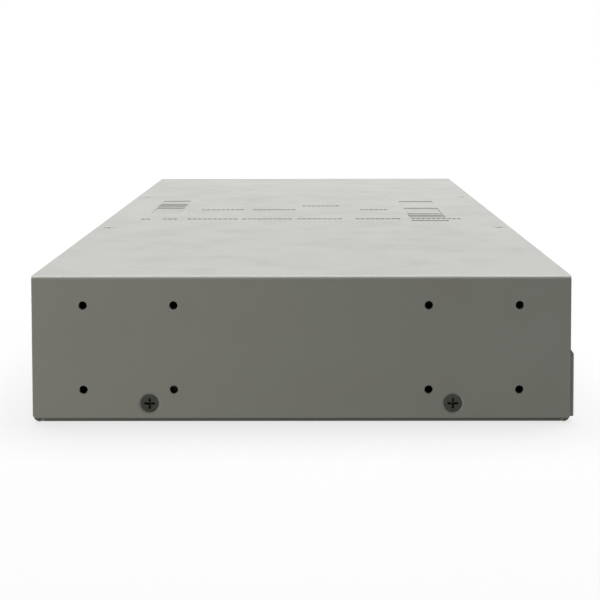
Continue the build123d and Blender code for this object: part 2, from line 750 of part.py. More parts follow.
inlet_flange_width, inlet_flange_height, inlet_flange_thick, inlet_corner = 48.0, 22.0, 2.0, 3.0
inlet_width, inlet_height, inlet_depth = 28.0, 20.0, 18.5
mouth_c14_width, mouth_c14_height, mouth_c14_chamfer, mouth_c14_depth = 24.6, 16.6, 4.5, 16.0
blade_width, blade_thick, blade_spread, blade_drop, earth_raise = 4.0, 2.0, 7.0, 2.0, 3.0
blade_tail, blade_recess = 7.0, 3.5
flange_plane = rear_plane.offset(-inlet_flange_thick)
blade_places = [(inlet_x - blade_spread, rear_z - blade_drop),
                (inlet_x + blade_spread, rear_z - blade_drop), (inlet_x, rear_z + earth_raise)]
inlet_face_y = half_depth + inlet_flange_thick
inlet_back_y = inlet_face_y - inlet_depth
inlet_screw_planes = [facing(x, inlet_face_y, rear_z, (0, 1, 0)) for x in inlet_screw_xs]

with BuildPart() as inlet_pins:
    with BuildSketch(Plane.XZ.offset(-(inlet_back_y - blade_tail))):
        with Locations(*blade_places):
            Rectangle(blade_thick, blade_width)
    extrude(amount=-(inlet_depth + blade_tail - blade_recess))

with BuildPart() as mains_inlet:
    with BuildSketch(flange_plane):
        with Locations((inlet_x, rear_z)):
            RectangleRounded(inlet_flange_width, inlet_flange_height, inlet_corner)
    extrude(amount=inlet_flange_thick)
    with BuildSketch(flange_plane):
        with Locations((inlet_x, rear_z)):
            Rectangle(inlet_width, inlet_height)
    extrude(amount=inlet_depth)
    with BuildSketch(flange_plane) as mouth:
        with Locations((inlet_x, rear_z)):
            Rectangle(mouth_c14_width, mouth_c14_height)
        chamfer(mouth.vertices().group_by(Axis.Y)[-1], mouth_c14_chamfer)
    extrude(amount=mouth_c14_depth, mode=Mode.SUBTRACT)
    add(inlet_pins.part, mode=Mode.SUBTRACT)
    with Locations(*inlet_screw_planes):
        CounterSinkHole(m3_thread, m3_head, depth=2 * inlet_flange_thick, counter_sink_angle=2 * countersink)

inlet_screws = countersunk_screws(inlet_screw_planes, 0)

# ---- Power switch --------------------------------------------------------------------

pivot_y, pivot_radius, pivot_reach = 77.5, 1.0, 6.2
rocker_width, rocker_tilt = 10.2, 8.0
well_width, well_height, well_back_y = 11.0, 18.0, 71.0
housing_width, housing_height, housing_back_y = 13.0, 19.8, 66.0
bezel_width, bezel_height, bezel_thick, bezel_corner = 16.0, 23.0, 2.0, 1.5
terminal_width, terminal_thick, terminal_spread, terminal_tail = 4.8, 0.8, 4.5, 7.0
pivot_plane = facing(switch_x - pivot_reach, pivot_y, rear_z, (1, 0, 0))

with BuildPart() as switch_terminals:
    with BuildSketch(Plane.XZ.offset(-(housing_back_y - terminal_tail))):
        with Locations(*[(switch_x, rear_z + dz) for dz in both(terminal_spread)]):
            Rectangle(terminal_width, terminal_thick)
    extrude(amount=-(well_back_y - housing_back_y + terminal_tail))

with BuildPart() as switch_housing:
    with BuildSketch(rear_plane.offset(-bezel_thick)):
        with Locations((switch_x, rear_z)):
            RectangleRounded(bezel_width, bezel_height, bezel_corner)
    extrude(amount=bezel_thick)
    with BuildSketch(rear_plane):
        with Locations((switch_x, rear_z)):
            Rectangle(housing_width, housing_height)
    extrude(amount=half_depth - housing_back_y)
    with BuildSketch(rear_plane.offset(-bezel_thick)):
        with Locations((switch_x, rear_z)):
            Rectangle(well_width, well_height)
    extrude(amount=half_depth + bezel_thick - well_back_y, mode=Mode.SUBTRACT)
    with BuildSketch(pivot_plane):
        Circle(pivot_radius + running_fit)
    extrude(amount=2 * pivot_reach, mode=Mode.SUBTRACT)
    add(switch_terminals.part, mode=Mode.SUBTRACT)

rocker_front, rocker_middle, rocker_half, rocker_back = 5.4, 4.2, 7.8, -2.6
rocker_profile = [
    (rocker_middle, 0), (rocker_front, rocker_half), (-0.5, rocker_half - 0.8), (rocker_back, 3.0),
    (rocker_back, -3.0), (-0.5, 0.8 - rocker_half), (rocker_front, -rocker_half),
]
rocker_plane = Plane(
    origin=(switch_x - rocker_width / 2, pivot_y, rear_z),
    x_dir=(0, cos(radians(rocker_tilt)), -sin(radians(rocker_tilt))),
    z_dir=(1, 0, 0),
)
with BuildPart() as switch_rocker:
    with BuildSketch(rocker_plane):
        with BuildLine():
            Polyline(*rocker_profile, close=True)
        make_face()
    extrude(amount=rocker_width)
    fillet(switch_rocker.edges().filter_by(Axis.X).sort_by(Axis.Y)[-1], 0.8)
    with BuildSketch(pivot_plane):
        Circle(pivot_radius)
    extrude(amount=2 * pivot_reach)

# ---- Earth stud ----------------------------------------------------------------------

stud_out, stud_in, nut_radius, nut_height = 6.0, 10.0, 4.0, 3.0
with BuildPart() as earth_terminal:
    with BuildSketch(facing(stud_x, half_depth - stud_in, stud_z, (0, 1, 0))):
        Circle(stud_radius)
    extrude(amount=stud_in + stud_out)
    for start_y in (half_depth, inner_rear_y - nut_height):
        with BuildSketch(facing(stud_x, start_y, stud_z, (0, 1, 0))):
            RegularPolygon(nut_radius, 6)
        extrude(amount=nut_height)

# ---- Fans ----------------------------------------------------------------------------

bearing_outer, bearing_length, base_thick, strut_width, hub_base_radius = 3.2, 13.0, 2.4, 2.2, 11.6
coil_outer, coil_low, coil_length = 7.9, 4.0, 8.0
cup_outer, cup_inner, cup_start, cup_floor = 11.5, 8.6, 3.0, 2.0
shaft_radius, shaft_length, blade_tip, blade_root = 1.0, 16.0, 18.1, 10.5
blade_chord, blade_sheet, blade_pitch_angle, blade_count = 13.0, 1.2, 42.0, 7
rotor_end, frame_chamfer = fan_thick - 1.2, 0.9
fan_inner_y = inner_rear_y - fan_thick


def fan_plane(name, along):
    """Plane across a fan, `along` its axis from its inner face towards the rear."""
    return facing(fan_centres[name], fan_inner_y + along, fan_z, (0, 1, 0))


def fan_frame(name):
    with BuildPart(mode=Mode.PRIVATE) as frame:
        with BuildSketch(fan_plane(name, 0)):
            RectangleRounded(fan_size, fan_size, fan_corner)
            Circle(fan_bore, mode=Mode.SUBTRACT)
            with GridLocations(2 * fan_screw_offset, 2 * fan_screw_offset, 2, 2):
                Circle(fan_screw_radius, mode=Mode.SUBTRACT)
        extrude(amount=fan_thick)
        rim = frame.faces().sort_by(Axis.Y)[-1].outer_wire()
        chamfer(rim.edges(), frame_chamfer)
        with BuildSketch(fan_plane(name, 0)):
            Circle(hub_base_radius)
            for angle in spoke_angles:
                Rectangle(2 * fan_bore + 1, strut_width, rotation=angle)
        extrude(amount=base_thick)
        with BuildSketch(fan_plane(name, base_thick)):
            Circle(bearing_outer)
        extrude(amount=bearing_length)
        with BuildSketch(fan_plane(name, 1.0)):
            Circle(shaft_radius + running_fit)
        extrude(amount=fan_thick, mode=Mode.SUBTRACT)
    return frame


def fan_blade(name):
    """One pitched blade, reaching from the hub to the tip circle."""
    middle = fan_plane(name, (cup_start + rotor_end) / 2).origin
    with BuildPart(mode=Mode.PRIVATE) as blade:
        with BuildSketch(Plane(origin=middle, x_dir=(0, 1, 0), z_dir=(1, 0, 0)).offset(blade_root)):
            Rectangle(blade_chord, blade_sheet, rotation=blade_pitch_angle)
        extrude(amount=blade_tip)
        with BuildSketch(fan_plane(name, 0)):
            Circle(blade_tip)
        extrude(amount=fan_thick, mode=Mode.INTERSECT)
    return blade.part


def fan_rotor(name):
    blade = fan_blade(name)
    spin_axis = Axis(fan_plane(name, 0).origin, (0, 1, 0))
    with BuildPart(mode=Mode.PRIVATE) as rotor:
        for index in range(blade_count):
            add(blade.rotate(spin_axis, 360 * index / blade_count))
        with BuildSketch(fan_plane(name, cup_start)):
            Circle(cup_outer)
        extrude(amount=rotor_end - cup_start)
        with BuildSketch(fan_plane(name, cup_start)):
            Circle(cup_inner)
        extrude(amount=rotor_end - cup_start - cup_floor, mode=Mode.SUBTRACT)
        with BuildSketch(fan_plane(name, rotor_end)):
            Circle(shaft_radius)
        extrude(amount=-shaft_length)
    return rotor


fan_frame_left, fan_frame_right = [fan_frame(name) for name in fan_centres]
fan_rotor_left, fan_rotor_right = [fan_rotor(name) for name in fan_centres]
fan_stators = rings([fan_plane(name, coil_low) for name in fan_centres],
                    coil_outer, bearing_outer, coil_length)

fan_head_radius, fan_head_height, fan_screw_length = 3.0, 1.8, 9.0
fan_screws = pan_screws(
    [facing(x, half_depth, z, (0, 1, 0)) for x, z in fan_screw_places],
    fan_head_radius, fan_head_height, fan_screw_radius, fan_screw_length,
)

# ---- Headers and leads ---------------------------------------------------------------

header_height, header_width, header_depth = 7.0, 12.0, 6.0
dc_out_x, dc_out_y, dc_in_x, dc_in_y = -124.0, 36.0, -104.0, -4.0
mains_in_x, mains_in_y = -200.0, 41.0
fan_header_y, fan_header_width, fan_header_height = -2.0, 6.0, 6.0
header_top = board_high + header_height
with BuildPart() as wire_headers:
    with BuildSketch(Plane.XY.offset(board_high)):
        with Locations((dc_out_x, dc_out_y), (dc_in_x, dc_in_y), (mains_in_x, mains_in_y)):
            Rectangle(header_depth, header_width)
    extrude(amount=header_height)
    with BuildSketch(Plane.XY.offset(board_high)):
        with Locations(*[(x - fan_size / 2, fan_header_y) for x in fan_centres.values()]):
            Rectangle(fan_header_width, fan_header_width)
    extrude(amount=fan_header_height)


def corner_radii(points):
    """Radius at each inner point: 0.45 of the shorter run, over the tangent of half the turn."""
    radii = []
    for before, here, after in zip(points, points[1:], points[2:]):
        run_in, run_out = Vector(*here) - Vector(*before), Vector(*after) - Vector(*here)
        half_turn = radians(run_in.get_angle(run_out)) / 2
        radii.append(0.45 * min(run_in.length, run_out.length) / tan(half_turn))
    return radii


def leads(routes, wire_radius):
    """Insulated wires, each along straight runs joined by tangent arcs."""
    with BuildPart(mode=Mode.PRIVATE) as bundle:
        for points in routes:
            with BuildLine(mode=Mode.PRIVATE) as route:
                FilletPolyline(*points, radius=corner_radii(points))
            start = Plane(origin=points[0], z_dir=Vector(*points[1]) - Vector(*points[0]))
            with BuildSketch(start, mode=Mode.PRIVATE) as section:
                Circle(wire_radius)
            path = route.wires()[0]
            wire = sweep(section.sketch, path=path, mode=Mode.PRIVATE)
            print("lead: volume over length times section",
                  round(wire.volume / (path.length * pi * wire_radius**2), 4),
                  "radii", [round(radius, 1) for radius in corner_radii(points)])
            add(wire)
    return bundle


mains_radius, harness_radius, fan_lead_radius = 0.8, 0.7, 0.6
tail_y = inlet_back_y - blade_tail
terminal_y = housing_back_y - terminal_tail
live_z = rear_z - blade_drop
upper_z, lower_z = rear_z + terminal_spread, rear_z - terminal_spread
mains_pad_ys = (mains_in_y - 2.5, mains_in_y + 2.5)
mains_leads = leads(
    [
        [(inlet_x + blade_spread, tail_y, live_z), (inlet_x + blade_spread, 51.0, live_z),
         (-169.0, 46.8, 21.5), (-162.5, 45.8, 23.5), (-155.0, 46.0, 25.5), (-147.5, 48.0, upper_z),
         (switch_x, 52.5, upper_z), (switch_x, terminal_y, upper_z)],
        [(inlet_x - blade_spread, tail_y, live_z), (inlet_x - blade_spread, 52.0, live_z),
         (-190.0, 48.1, 23.3), (-196.4, 45.1, 22.6), (mains_in_x, mains_pad_ys[1], 17.8),
         (mains_in_x, mains_pad_ys[1], header_top)],
        [(switch_x, terminal_y, lower_z), (switch_x, 54.0, lower_z), (-145.6, 50.7, 16.5),
         (-155.0, 51.2, 15.4), (-168.0, 52.0, 14.5), (-180.0, 51.5, 16.0), (-188.5, 48.0, 19.5),
         (-195.5, 41.5, 22.5), (mains_in_x, mains_pad_ys[0], 19.5),
         (mains_in_x, mains_pad_ys[0], header_top)],
        [(inlet_x, tail_y, rear_z + earth_raise), (inlet_x, 51.5, rear_z + earth_raise),
         (-178.5, 47.8, 29.5), (-172.0, 47.8, 33.0), (-163.0, 51.5, 34.5), (-149.0, 53.5, 34.0),
         (-134.5, 54.5, 29.0), (-124.0, 57.5, 21.0), (stud_x, 62.0, stud_z),
         (stud_x, half_depth - stud_in, stud_z)],
    ],
    mains_radius,
)

harness_pitch, harness_count, harness_rise, harness_top = 2.2, 4, 22.0, 27.5
harness_offsets = [harness_pitch * (i - (harness_count - 1) / 2) for i in range(harness_count)]
dc_harness = leads(
    [
        [(dc_out_x, dc_out_y + offset_y, header_top), (dc_out_x, dc_out_y + offset_y, harness_rise),
         (dc_out_x + 5.0, dc_out_y + offset_y - 12.0, harness_top),
         (dc_in_x - 5.0, dc_in_y + offset_y + 12.0, harness_top + 0.5),
         (dc_in_x, dc_in_y + offset_y, harness_rise), (dc_in_x, dc_in_y + offset_y, header_top)]
        for offset_y in harness_offsets
    ],
    harness_radius,
)

fan_exit_x, fan_exit_z, fan_header_z = 18.4, 12.0, 9.6
fan_header_x = fan_size / 2
fan_leads = leads(
    [
        [(x - fan_exit_x, fan_inner_y, fan_exit_z + side), (x - fan_exit_x, 50.0, fan_exit_z + side),
         (x - 19.5 + 0.8 * side, 36.0, 11.0 + 0.4 * side), (x - 21.0 + side, 22.0, 8.8),
         (x - fan_header_x + 1.2 * side, 9.0, fan_header_z),
         (x - fan_header_x + 1.2 * side, fan_header_y + fan_header_width / 2, fan_header_z)]
        for x in fan_centres.values()
        for side in (-1, 1)
    ],
    fan_lead_radius,
)

# ---- Written out ---------------------------------------------------------------------

pieces = {
    "base_tray": base_tray, "top_cover": top_cover, "port_fascia": port_fascia,
    "indicator_window": indicator_window, "cover_side_screws": cover_side_screws,
    "cover_top_screws": cover_top_screws, "cover_nuts": cover_nuts,
    "ear_mount_nuts": ear_mount_nuts, "main_board": main_board,
    "board_standoffs": board_standoffs, "board_screws": board_screws,
    "lan_jack_block": lan_jack_block, "wan_jack_block": wan_jack_block, "dmz_jack": dmz_jack,
    "console_jack": console_jack, "jack_contacts": jack_contacts, "link_leds": link_leds,
    "usb_shells": usb_shells, "usb_tongues": usb_tongues, "reset_button": reset_button,
    "reset_switch": reset_switch, "status_leds": status_leds, "light_pipes": light_pipes,
    "processor": processor, "heatsink": heatsink, "heatsink_pins": heatsink_pins,
    "memory_module": memory_module, "memory_socket": memory_socket,
    "flash_module": flash_module, "coin_cell": coin_cell, "coin_cell_holder": coin_cell_holder,
    "line_transformers": line_transformers, "board_chips": board_chips,
    "board_capacitors": board_capacitors, "board_coils": board_coils,
    "psu_board": psu_board, "psu_insulator": psu_insulator,
    "transformer_core": transformer_core, "transformer_winding": transformer_winding,
    "psu_capacitors": psu_capacitors, "psu_heatsinks": psu_heatsinks, "psu_choke": psu_choke,
    "mains_fuse": mains_fuse, "mains_inlet": mains_inlet, "inlet_pins": inlet_pins,
    "inlet_screws": inlet_screws, "switch_housing": switch_housing,
    "switch_rocker": switch_rocker, "switch_terminals": switch_terminals,
    "earth_terminal": earth_terminal, "fan_frame_left": fan_frame_left,
    "fan_frame_right": fan_frame_right, "fan_rotor_left": fan_rotor_left,
    "fan_rotor_right": fan_rotor_right, "fan_stators": fan_stators, "fan_screws": fan_screws,
    "wire_headers": wire_headers, "mains_leads": mains_leads, "dc_harness": dc_harness,
    "fan_leads": fan_leads,
}
for name, piece in pieces.items():
    piece.part.label = name
    export_step(piece.part, f"parts/{name}.step")
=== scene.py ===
import json
import math

import bmesh
import bpy
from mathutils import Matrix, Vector


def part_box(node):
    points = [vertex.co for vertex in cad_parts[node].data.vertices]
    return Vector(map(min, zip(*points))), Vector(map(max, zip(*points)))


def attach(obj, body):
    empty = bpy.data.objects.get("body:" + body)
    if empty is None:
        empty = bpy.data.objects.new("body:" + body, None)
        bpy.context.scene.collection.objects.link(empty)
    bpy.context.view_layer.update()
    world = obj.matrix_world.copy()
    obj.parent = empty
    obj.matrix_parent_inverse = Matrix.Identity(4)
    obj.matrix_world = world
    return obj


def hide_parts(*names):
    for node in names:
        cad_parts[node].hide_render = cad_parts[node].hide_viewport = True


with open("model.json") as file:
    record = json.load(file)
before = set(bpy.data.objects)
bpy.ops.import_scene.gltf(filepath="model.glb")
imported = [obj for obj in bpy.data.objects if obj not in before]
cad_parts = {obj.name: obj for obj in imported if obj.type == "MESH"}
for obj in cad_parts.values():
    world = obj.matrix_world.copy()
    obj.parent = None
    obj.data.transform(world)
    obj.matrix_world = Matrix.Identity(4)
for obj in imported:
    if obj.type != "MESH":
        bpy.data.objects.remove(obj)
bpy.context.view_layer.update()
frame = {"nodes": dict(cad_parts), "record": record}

# Looks for a 1U firewall appliance. Metres, in the row frame: +X along the width, the
# sockets face -Y, +Z up. The photograph looks along +X at the end of the case.

MM = 0.001
NODES = frame["nodes"]
COVER_LOW, COVER_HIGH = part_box("top_cover")
FASCIA_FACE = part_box("port_fascia")[0].y
TRAY_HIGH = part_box("base_tray")[1]

# The tray's lip under the cover, painted nearly black as painted shadow from the cover's overhang:
# below this height and further out than this
LIP_SHADE_HEIGHT, LIP_SHADE_START = COVER_LOW.z + 0.02 * MM, TRAY_HIGH.x - 0.4 * MM

# The marks pressed into the cover, painted darker as painted shade in their recesses: how deep
# below its top they lie, and their span along X
SUNK_DEEP, SUNK_SHALLOW = 0.4 * MM, 0.1 * MM
SUNK_START, SUNK_END = -60 * MM, 70 * MM


# ---- Shader building ----------------------------------------------------------------


class Finish:
    """A node material: helpers that add nodes, and a Principled shader at the end."""

    def __init__(self, name, colour, roughness, metallic=0.0, **sockets):
        self.material = bpy.data.materials.new(name)
        self.material.use_nodes = True
        self.tree = self.material.node_tree
        self.shader = self.tree.nodes["Principled BSDF"]
        self.set("Base Color", (*colour, 1.0))
        self.set("Roughness", roughness)
        self.set("Metallic", metallic)
        for socket, value in sockets.items():
            self.set(socket.replace("_", " "), value)
        self.place = self.add("ShaderNodeTexCoord").outputs["Object"]

    def add(self, kind, **settings):
        node = self.tree.nodes.new(kind)
        for key, value in settings.items():
            setattr(node, key, value)
        return node

    def join(self, output, target):
        self.tree.links.new(output, target)

    def set(self, socket, value):
        self.shader.inputs[socket].default_value = value

    def stretched(self, scale):
        """Object coordinates, multiplied by a vector."""
        node = self.add("ShaderNodeMapping")
        node.inputs["Scale"].default_value = scale
        self.join(self.place, node.inputs["Vector"])
        return node.outputs["Vector"]

    def noise(self, scale, detail=3.0, roughness=0.5, where=None):
        node = self.add("ShaderNodeTexNoise")
        node.inputs["Scale"].default_value = scale
        node.inputs["Detail"].default_value = detail
        node.inputs["Roughness"].default_value = roughness
        self.join(where or self.place, node.inputs["Vector"])
        return node.outputs["Fac"]

    def cells(self, scale, feature="F1", where=None):
        node = self.add("ShaderNodeTexVoronoi", feature=feature)
        node.inputs["Scale"].default_value = scale
        self.join(where or self.place, node.inputs["Vector"])
        return node.outputs["Distance"]

    def remap(self, value, low, high, to_low, to_high):
        node = self.add("ShaderNodeMapRange")
        limits = {"From Min": low, "From Max": high, "To Min": to_low, "To Max": to_high}
        for key, number in limits.items():
            node.inputs[key].default_value = number
        self.join(value, node.inputs["Value"])
        return node.outputs["Result"]

    def maths(self, operation, a, b=None):
        node = self.add("ShaderNodeMath", operation=operation)
        for index, value in enumerate((a, b)):
            if value is None:
                continue
            if isinstance(value, (int, float)):
                node.inputs[index].default_value = value
            else:
                self.join(value, node.inputs[index])
        return node.outputs["Value"]

    def axis(self, name):
        """One of the object coordinates, X, Y or Z."""
        node = self.add("ShaderNodeSeparateXYZ")
        self.join(self.place, node.inputs["Vector"])
        return node.outputs[name]

    def between(self, value, low, high):
        """1 where a value lies between two limits, else 0."""
        return self.maths("MULTIPLY", self.maths("GREATER_THAN", value, low),
                          self.maths("LESS_THAN", value, high))

    def mix(self, factor, a, b, blend="MIX"):
        node = self.add("ShaderNodeMix", data_type="RGBA", blend_type=blend)
        sockets = node.inputs["Factor"], node.inputs[6], node.inputs[7]
        for value, socket in zip((factor, a, b), sockets):
            if isinstance(value, (int, float)):
                socket.default_value = value
            elif isinstance(value, tuple):
                socket.default_value = (*value, 1.0)
            else:
                self.join(value, socket)
        return node.outputs[2]

    def shade(self, factor, colour, amount):
        """The colour, made lighter or darker by `amount` as the factor goes from 0 to 1."""
        dark = tuple(c * (1 - amount) for c in colour)
        light = tuple(min(1.0, c * (1 + amount)) for c in colour)
        return self.mix(factor, dark, light)

    def paint(self, output):
        self.join(output, self.shader.inputs["Base Color"])

    def gloss(self, output):
        self.join(output, self.shader.inputs["Roughness"])

    def relief(self, height, depth, edge=0.0):
        """Bump of a real depth in metres, over edges softened by a small radius."""
        bump = self.add("ShaderNodeBump")
        bump.inputs["Distance"].default_value = depth
        bump.inputs["Strength"].default_value = 1.0
        self.join(height, bump.inputs["Height"])
        if edge:
            bevel = self.add("ShaderNodeBevel", samples=6)
            bevel.inputs["Radius"].default_value = edge
            self.join(bevel.outputs["Normal"], bump.inputs["Normal"])
        self.join(bump.outputs["Normal"], self.shader.inputs["Normal"])

    def edge_mask(self, radius, reach=0.25):
        """1 along sharp edges, 0 on flats."""
        bevel = self.add("ShaderNodeBevel", samples=6)
        bevel.inputs["Radius"].default_value = radius
        geometry = self.add("ShaderNodeNewGeometry")
        dot = self.add("ShaderNodeVectorMath", operation="DOT_PRODUCT")
        self.join(bevel.outputs["Normal"], dot.inputs[0])
        self.join(geometry.outputs["Normal"], dot.inputs[1])
        return self.remap(dot.outputs["Value"], 1.0, 1 - reach, 0.0, 1.0)


# ---- Materials ----------------------------------------------------------------------


def powder_coat():
    """Warm light grey paint: orange peel, faint soiling, edges painted paler as painted highlight,
    and painted shade darkening the lip under the cover and the pressed marks.
    """
    grey = (0.472, 0.478, 0.454)
    finish = Finish("powder_coat", grey, 0.45, IOR=1.45)
    cloud = finish.noise(9.0, 4.0, 0.55)
    blotch = finish.noise(60.0, 3.0, 0.6)
    speck = finish.noise(2600.0, 2.0, 0.6)
    base = finish.shade(finish.remap(cloud, 0.35, 0.65, 0.0, 1.0), grey, 0.022)
    soil = finish.remap(blotch, 0.5, 0.75, 0.0, 0.35)
    base = finish.mix(soil, base, (0.44, 0.44, 0.405))
    grain = finish.remap(speck, 0.3, 0.7, 0.0, 1.0)
    base = finish.mix(0.5, base, finish.shade(grain, (0.5, 0.5, 0.5), 0.10), "SOFT_LIGHT")
    # Painted highlight: sharp edges are painted paler, for the light caught along them.
    edge = finish.edge_mask(0.35 * MM)
    base = finish.mix(finish.maths("MULTIPLY", edge, 0.35), base, (0.62, 0.63, 0.58))
    height = finish.axis("Z")
    # Painted shade: the pressed marks are painted darker, where their recesses lie in shade.
    sunk_shade = finish.between(height, COVER_HIGH.z - SUNK_DEEP, COVER_HIGH.z - SUNK_SHALLOW)
    along = finish.between(finish.axis("X"), SUNK_START, SUNK_END)
    sunk_shade = finish.maths("MULTIPLY", sunk_shade, along)
    base = finish.mix(finish.maths("MULTIPLY", sunk_shade, 0.16), base, (0.30, 0.30, 0.27))
    outwards = finish.maths("ABSOLUTE", finish.axis("X"))
    # Painted shadow: the tray's lip below the cover's edge is painted nearly black, for the shade
    # under the cover's overhang.
    lip_shade = finish.maths("MULTIPLY", finish.maths("LESS_THAN", height, LIP_SHADE_HEIGHT),
                       finish.maths("GREATER_THAN", outwards, LIP_SHADE_START))
    base = finish.mix(finish.maths("MULTIPLY", lip_shade, 0.85), base, (0.14, 0.14, 0.128))
    finish.paint(base)
    finish.gloss(finish.remap(blotch, 0.3, 0.7, 0.40, 0.52))
    peel = finish.maths("ADD", finish.noise(900.0, 2.0), finish.maths("MULTIPLY", speck, 0.35))
    finish.relief(peel, 0.012 * MM, edge=0.35 * MM)
    return finish.material


def metal(name, colour, roughness, grain=(400.0, 400.0, 40.0), tarnish=0.12, edge=0.15):
    """Plated or bare metal with a directional grain and slight tarnish."""
    finish = Finish(name, colour, roughness, metallic=1.0)
    streak = finish.noise(3.0, 3.0, 0.6, finish.stretched(grain))
    cloud = finish.noise(90.0, 3.0)
    base = finish.shade(finish.remap(streak, 0.3, 0.7, 0.0, 1.0), colour, 0.06)
    dull = tuple(c * 0.7 for c in colour)
    finish.paint(finish.mix(finish.remap(cloud, 0.5, 0.8, 0.0, tarnish * 4), base, dull))
    finish.gloss(finish.remap(streak, 0.3, 0.7, roughness - 0.06, roughness + 0.08))
    finish.relief(streak, 0.004 * MM, edge=edge * MM)
    return finish.material


def plastic(name, colour, roughness, grain=2800.0, depth=0.008, edge=0.2, mottle=0.12, **sockets):
    """Moulded plastic with a spark-eroded grain and slight mottling."""
    finish = Finish(name, colour, roughness, **sockets)
    fine = finish.noise(grain, 2.0, 0.6)
    cloud = finish.noise(120.0, 3.0)
    base = finish.shade(finish.remap(cloud, 0.3, 0.7, 0.0, 1.0), colour, mottle)
    # Painted highlight: sharp edges are painted paler, for the light caught along them.
    edge_highlight = tuple(min(1.0, c * 1.5 + 0.01) for c in colour)
    finish.paint(finish.mix(finish.maths("MULTIPLY", finish.edge_mask(edge * MM), 0.3), base, edge_highlight))
    finish.gloss(finish.remap(fine, 0.3, 0.7, roughness - 0.05, roughness + 0.07))
    finish.relief(fine, depth * MM, edge=edge * MM)
    return finish.material


def circuit_board(name, mask, trace):
    """Solder mask over copper: routed traces, plated holes and a faint weave."""
    finish = Finish(name, mask, 0.28, Coat_Weight=0.3)
    bricks = finish.add("ShaderNodeTexBrick", offset=0.35, squash=0.6, squash_frequency=3)
    bricks.inputs["Scale"].default_value = 150.0
    bricks.inputs["Mortar Size"].default_value = 0.035
    bricks.inputs["Mortar Smooth"].default_value = 0.2
    finish.join(finish.place, bricks.inputs["Vector"])
    routed = bricks.outputs["Fac"]
    vias = finish.remap(finish.cells(210.0), 0.10, 0.14, 1.0, 0.0)
    weave = finish.noise(4.0, 2.0, 0.5, finish.stretched((300.0, 60.0, 60.0)))
    base = finish.mix(finish.maths("MULTIPLY", routed, 0.8), finish.shade(weave, mask, 0.15), trace)
    finish.paint(finish.mix(vias, base, (0.60, 0.55, 0.42)))
    finish.relief(finish.maths("SUBTRACT", vias, routed), 0.02 * MM)
    return finish.material


def lens(name, colour, roughness=0.12, transmission=0.6):
    """Clear or tinted moulding with faint flow marks."""
    finish = Finish(name, colour, roughness, Transmission_Weight=transmission, IOR=1.49)
    flow = finish.noise(300.0, 2.0)
    finish.paint(finish.shade(finish.remap(flow, 0.3, 0.7, 0.0, 1.0), colour, 0.08))
    finish.gloss(finish.remap(flow, 0.3, 0.7, roughness - 0.03, roughness + 0.05))
    finish.relief(flow, 0.004 * MM)
    return finish.material


def wound(name, colour, gloss, turns=900.0):
    """Layers of wire or tape wound round a core."""
    finish = Finish(name, colour, gloss, Coat_Weight=0.25)
    wave = finish.add("ShaderNodeTexWave", bands_direction="Z")
    wave.inputs["Scale"].default_value = turns
    wave.inputs["Distortion"].default_value = 1.5
    finish.join(finish.place, wave.inputs["Vector"])
    finish.paint(finish.shade(wave.outputs["Fac"], colour, 0.2))
    finish.relief(wave.outputs["Fac"], 0.05 * MM)
    return finish.material


MATERIALS = {
    "powder_coat": powder_coat(),
    "smoked_window": lens("smoked_window", (0.03, 0.03, 0.035), 0.10, 0.35),
    "black_screw": metal("black_screw", (0.075, 0.074, 0.066), 0.50, tarnish=0.2),
    "plated_screw": metal("plated_screw", (0.56, 0.55, 0.51), 0.36),
    "zinc": metal("zinc", (0.62, 0.62, 0.60), 0.34),
    "green_board": circuit_board("green_board", (0.012, 0.11, 0.045), (0.03, 0.20, 0.08)),
    "tan_board": circuit_board("tan_board", (0.38, 0.25, 0.11), (0.46, 0.32, 0.15)),
    "jack_shield": metal("jack_shield", (0.66, 0.65, 0.62), 0.30, grain=(60.0, 400.0, 400.0)),
    "gold_contact": metal("gold_contact", (0.83, 0.60, 0.22), 0.25, tarnish=0.05),
    "link_lens": lens("link_lens", (0.35, 0.62, 0.20), 0.18, 0.3),
    "black_plastic": plastic("black_plastic", (0.020, 0.020, 0.021), 0.42),
    "button_plastic": plastic("button_plastic", (0.05, 0.05, 0.052), 0.40),
    "clear_lens": lens("clear_lens", (0.82, 0.84, 0.80), 0.12, 0.8),
    "chip_plastic": plastic("chip_plastic", (0.028, 0.028, 0.029), 0.50, mottle=0.2),
    "sink_aluminium": metal("sink_aluminium", (0.70, 0.71, 0.72), 0.36, grain=(400.0, 40.0, 400.0)),
    "cell_steel": metal("cell_steel", (0.72, 0.72, 0.71), 0.22),
    "capacitor_sleeve": plastic("capacitor_sleeve", (0.025, 0.035, 0.11), 0.25, grain=500.0),
    "ferrite": plastic("ferrite", (0.055, 0.052, 0.050), 0.62, mottle=0.25),
    "insulator_film": lens("insulator_film", (0.80, 0.77, 0.66), 0.25, 0.4),
    "winding_tape": wound("winding_tape", (0.72, 0.52, 0.09), 0.35, 160.0),
    "fuse_ceramic": plastic("fuse_ceramic", (0.76, 0.73, 0.66), 0.35),
    "plated_blade": metal("plated_blade", (0.74, 0.72, 0.67), 0.24),
    "rocker_plastic": plastic("rocker_plastic", (0.022, 0.022, 0.023), 0.24, depth=0.003),
    "fan_plastic": plastic("fan_plastic", (0.024, 0.024, 0.026), 0.46),
    "copper_winding": wound("copper_winding", (0.58, 0.26, 0.11), 0.30),
    "header_plastic": plastic("header_plastic", (0.74, 0.71, 0.60), 0.40),
    "wire_sleeve": plastic("wire_sleeve", (0.03, 0.03, 0.032), 0.36, grain=1200.0),
}


def dress(node, material):
    """Gives a CAD node a material on every slot."""
    mesh = NODES[node].data
    mesh.materials.clear()
    mesh.materials.append(material)
    for polygon in mesh.polygons:
        polygon.material_index = 0


for entry in frame["record"]["subparts"]:
    dress(entry["node"], MATERIALS[entry["material_slot"]])


# ---- Mesh pieces ----------------------------------------------------------------------


